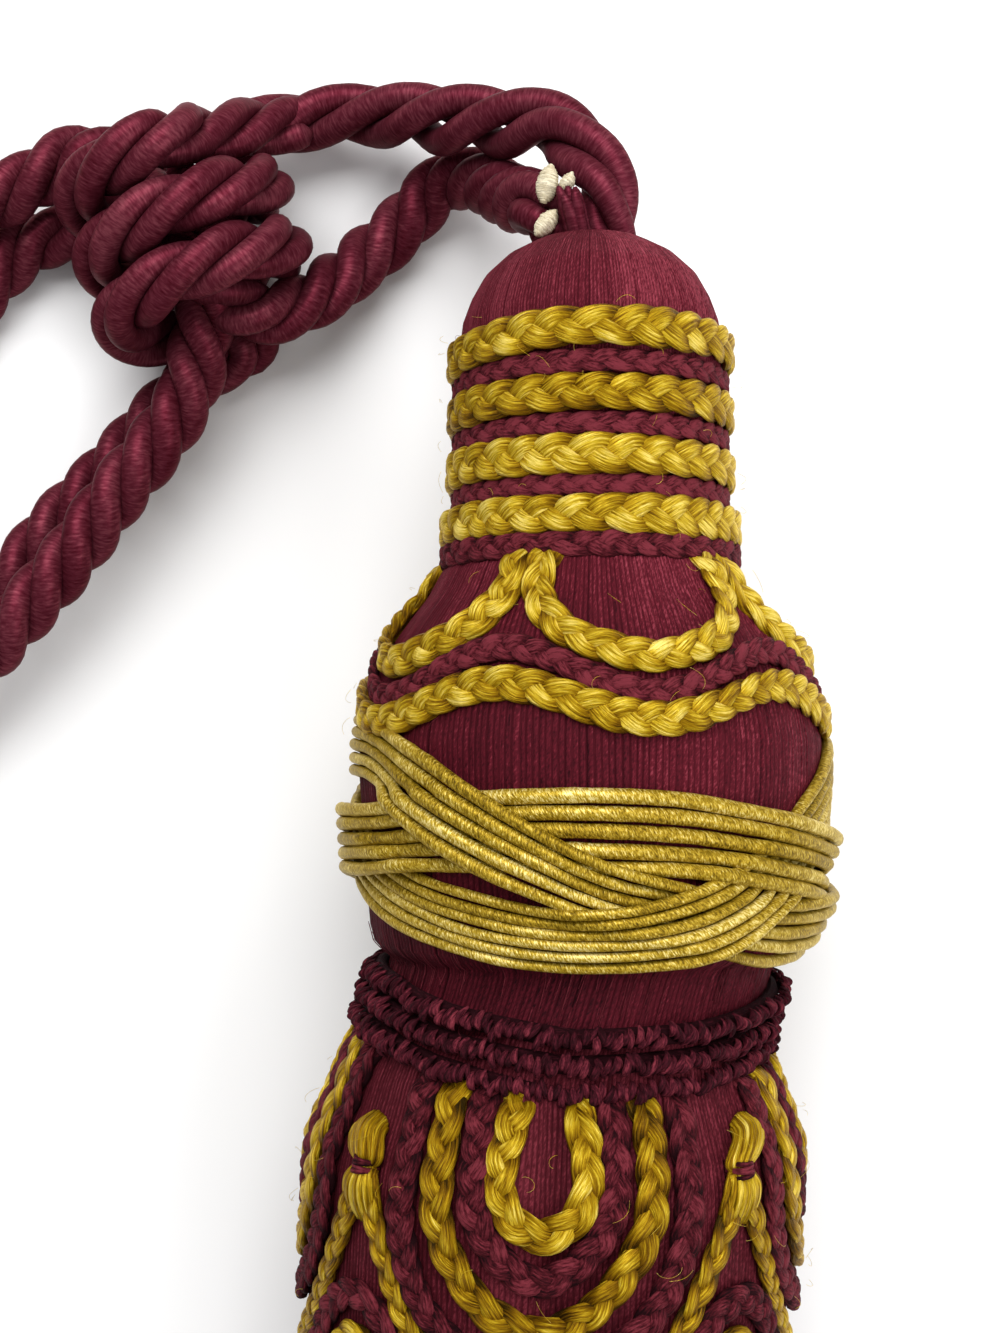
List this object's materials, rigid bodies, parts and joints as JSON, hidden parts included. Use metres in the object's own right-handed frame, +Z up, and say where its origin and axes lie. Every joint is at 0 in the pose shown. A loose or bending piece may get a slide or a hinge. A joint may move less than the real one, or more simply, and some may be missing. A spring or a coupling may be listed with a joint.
{
  "type": "curtain tieback tassel",
  "caption": "Rope curtain tieback tied in a wound knot, with a large turned tassel trimmed with gold braid swags, interlaced gimp cord, a crocheted ruffle and a thread skirt",
  "frame": {"origin": "middle of the tassel's footprint on the table, rope not counted", "axes": "+Y runs along the tassel towards its dome, +X to the right as seen from above, +Z up from the table"},
  "size_m": [0.2539, 0.3234, 0.0838],
  "materials": {
    "burgundy": "burgundy viscose thread, soft sheen",
    "gold": "antique gold braid and gimp, satin sheen",
    "cotton": "undyed cotton core, matte",
    "core": "dark red whipped yarn, matte"
  },
  "bodies": {
    "root": {"arch_burgundy_1": "burgundy", "arch_burgundy_2": "burgundy", "arch_burgundy_3": "burgundy", "arch_burgundy_4": "burgundy", "arch_gold_1": "gold", "arch_gold_2": "gold", "arch_gold_3": "gold", "arch_gold_4": "gold", "band_burgundy_1": "burgundy", "band_burgundy_2": "burgundy", "band_burgundy_3": "burgundy", "band_burgundy_4": "burgundy", "band_gold_1": "gold", "band_gold_2": "gold", "band_gold_3": "gold", "band_gold_4": "gold", "core_end_1": "cotton", "core_end_2": "cotton", "ear_lower": "burgundy", "ear_upper": "burgundy", "gimp_bundle_a": "gold", "gimp_bundle_b": "gold", "gimp_bundle_c": "gold", "head": "burgundy", "knot_coil": "burgundy", "rope_leg_lower": "burgundy", "rope_leg_upper": "burgundy", "rope_stub": "core", "ruffle_1": "burgundy", "ruffle_2": "burgundy", "ruffle_3": "burgundy", "skirt": "burgundy", "swag_gold_1": "gold", "swag_gold_2": "gold", "swag_gold_3": "gold", "swag_gold_4": "gold", "swag_gold_5": "gold", "tuft_gold_1": "gold", "tuft_gold_2": "gold", "tuft_gold_3": "gold", "tuft_gold_4": "gold", "u_burgundy_inner_1": "burgundy", "u_burgundy_inner_2": "burgundy", "u_burgundy_inner_3": "burgundy", "u_burgundy_inner_4": "burgundy", "u_burgundy_outer_1": "burgundy", "u_burgundy_outer_2": "burgundy", "u_burgundy_outer_3": "burgundy", "u_burgundy_outer_4": "burgundy", "u_gold_inner_1": "gold", "u_gold_inner_2": "gold", "u_gold_inner_3": "gold", "u_gold_inner_4": "gold", "u_gold_outer_1": "gold", "u_gold_outer_2": "gold", "u_gold_outer_3": "gold", "u_gold_outer_4": "gold", "wave_burgundy": "burgundy", "wave_gold": "gold"}
  },
  "joints": []
}
